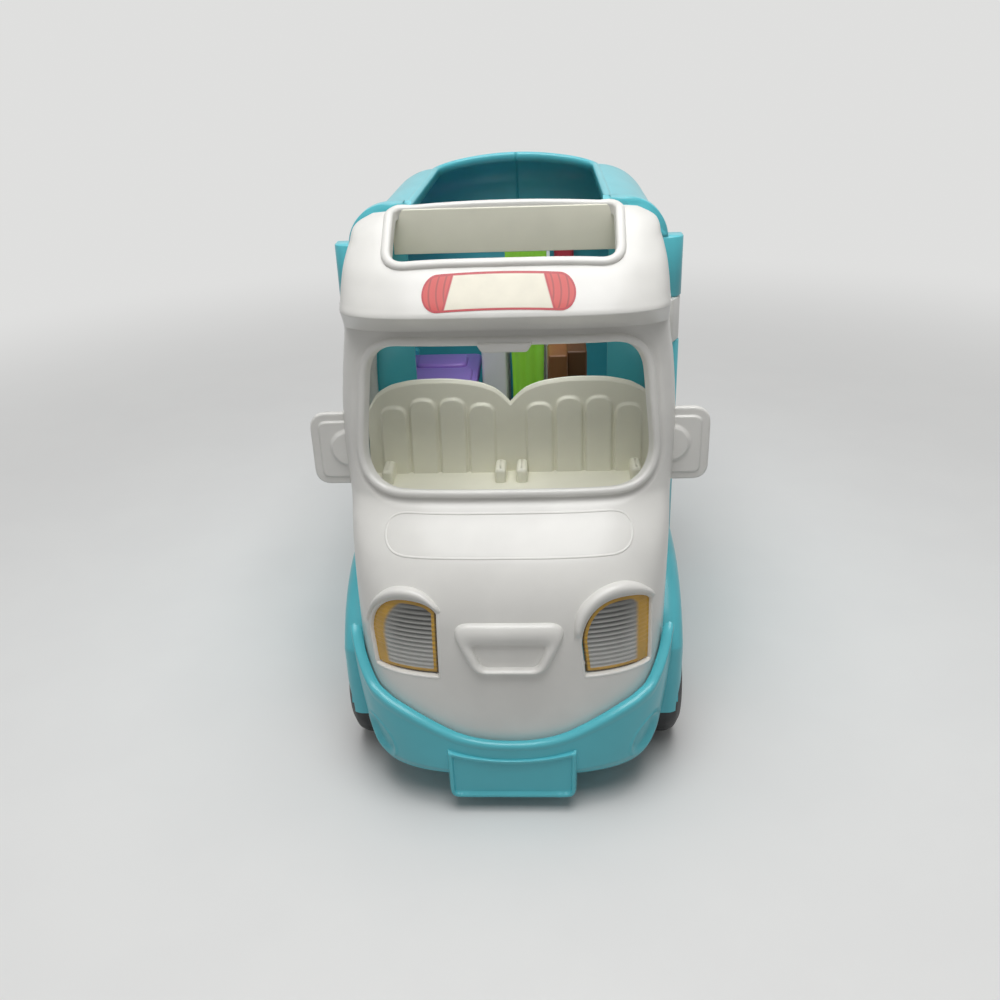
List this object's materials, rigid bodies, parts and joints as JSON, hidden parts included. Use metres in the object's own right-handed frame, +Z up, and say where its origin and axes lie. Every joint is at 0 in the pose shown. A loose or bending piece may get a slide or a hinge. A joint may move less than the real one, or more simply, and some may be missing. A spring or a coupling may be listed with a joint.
{
  "type": "toy camper van",
  "caption": "Toy camper van with a moulded cab, an over-cab cap with a sunroof, and a body that splits into hinged halves around a furnished interior",
  "frame": {"origin": "middle of the van on the ground, halfway between the front plate and the rear step", "axes": "+X to the left as the driver sees it, +Y to the rear, +Z up"},
  "size_m": [0.1572, 0.28, 0.2226],
  "materials": {
    "white": "glossy moulded ABS",
    "cream": "satin moulded plastic",
    "teal": "glossy moulded ABS",
    "black": "satin moulded plastic",
    "purple": "glossy moulded plastic",
    "lime": "glossy moulded plastic",
    "brown": "satin moulded plastic",
    "red": "glossy moulded plastic",
    "lens": "printed ribbed lens with an amber edge",
    "steel": "drawn steel rod"
  },
  "bodies": {
    "cab": {"chassis": "teal", "front_bumper": "teal", "cab_shell": "white", "roof_cap": "white", "seat_bench": "cream", "headlight_left": "lens", "headlight_right": "lens", "mirror_left": "white", "mirror_right": "white", "hinge_pin_left_upper": "steel", "hinge_pin_left_lower": "steel", "hinge_pin_right_upper": "steel", "hinge_pin_right_lower": "steel"},
    "front_wheels": {"front_axle": "steel", "wheel_front_left": "black", "wheel_front_right": "black", "hubcap_front_left": "white", "hubcap_front_right": "white"},
    "left_half": {"body_half_left": "teal", "floor_left": "teal", "rear_axle_left": "steel", "washroom": "white", "curtain": "lime", "kitchen_unit": "brown", "hob": "white", "wall_cupboard": "red"},
    "right_half": {"body_half_right": "teal", "floor_right": "teal", "seam_tongue": "teal", "rear_axle_right": "steel", "bunk_bracket_front": "teal", "bunk_bracket_rear": "teal", "wardrobe": "white"},
    "rear_wheel_left": {"wheel_rear_left": "black", "hubcap_rear_left": "white"},
    "rear_wheel_right": {"wheel_rear_right": "black", "hubcap_rear_right": "white"},
    "fold_up_bunk": {"bunk": "purple"}
  },
  "joints": [
    {"name": "left_half_swing", "type": "hinge", "parent": "cab", "child": "left_half", "pos_m": [0.0663, -0.0297, 0.1], "axis": [0, 0, -1], "range_deg": [0, 90]},
    {"name": "right_half_swing", "type": "hinge", "parent": "cab", "child": "right_half", "pos_m": [-0.0663, -0.0297, 0.1], "axis": [0, 0, 1], "range_deg": [0, 90]},
    {"name": "front_wheels_roll", "type": "hinge", "parent": "cab", "child": "front_wheels", "pos_m": [0, -0.08, 0.02776], "axis": [1, 0, 0], "continuous": true},
    {"name": "rear_left_roll", "type": "hinge", "parent": "left_half", "child": "rear_wheel_left", "pos_m": [0.064, 0.086, 0.02776], "axis": [1, 0, 0], "continuous": true},
    {"name": "rear_right_roll", "type": "hinge", "parent": "right_half", "child": "rear_wheel_right", "pos_m": [-0.064, 0.086, 0.02776], "axis": [1, 0, 0], "continuous": true},
    {"name": "bunk_fold", "type": "hinge", "parent": "right_half", "child": "fold_up_bunk", "pos_m": [-0.0637, 0.05095, 0.109], "axis": [0, -1, 0], "range_deg": [0, 85]}
  ]
}
